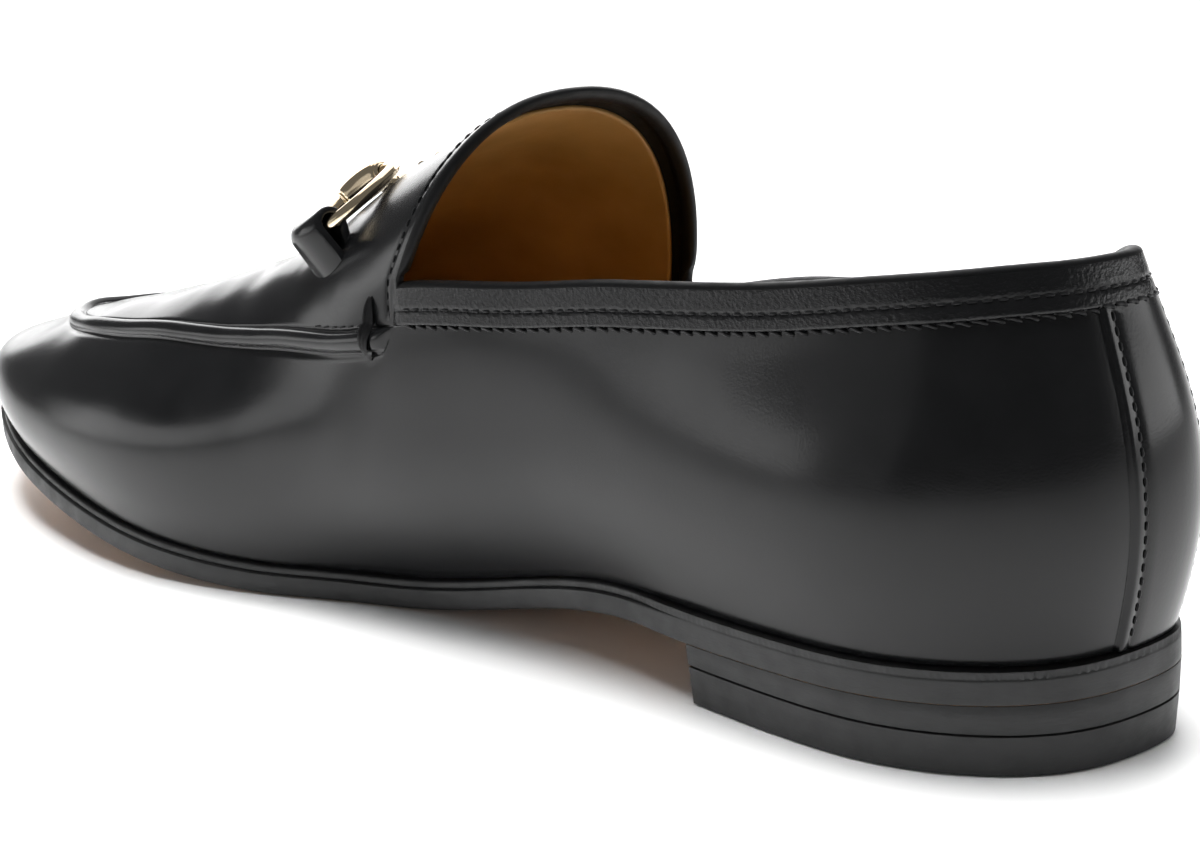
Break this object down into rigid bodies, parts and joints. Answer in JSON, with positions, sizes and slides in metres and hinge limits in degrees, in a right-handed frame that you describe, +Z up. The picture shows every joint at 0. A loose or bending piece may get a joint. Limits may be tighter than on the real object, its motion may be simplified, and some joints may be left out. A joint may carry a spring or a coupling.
{
  "type": "bit loafer",
  "caption": "Low-heeled leather slip-on shoe for the right foot, with a raised apron seam, collar band, back strap and a metal bit across the vamp.",
  "frame": {"origin": "on the floor under the middle of the shoe's box", "axes": "+Z up, toe towards -Y, heel towards +Y, medial side towards +X"},
  "size_m": [0.0846, 0.2636, 0.0868],
  "materials": {
    "calf": "smooth polished black calf",
    "sole_edge": "inked black sole edge, matt",
    "top_lift": "matt black",
    "lining": "unpolished tan lining leather",
    "bit_metal": "polished pale gold plate"
  },
  "bodies": {
    "root": {"outsole": "sole_edge", "heel_lift": "sole_edge", "heel_top_lift": "top_lift", "insole": "lining", "upper": "calf", "bit_bar": "bit_metal", "bit_ring_medial": "bit_metal", "bit_ring_lateral": "bit_metal", "tab_medial": "calf", "tab_lateral": "calf", "keeper_medial": "calf", "keeper_lateral": "calf"}
  },
  "joints": []
}
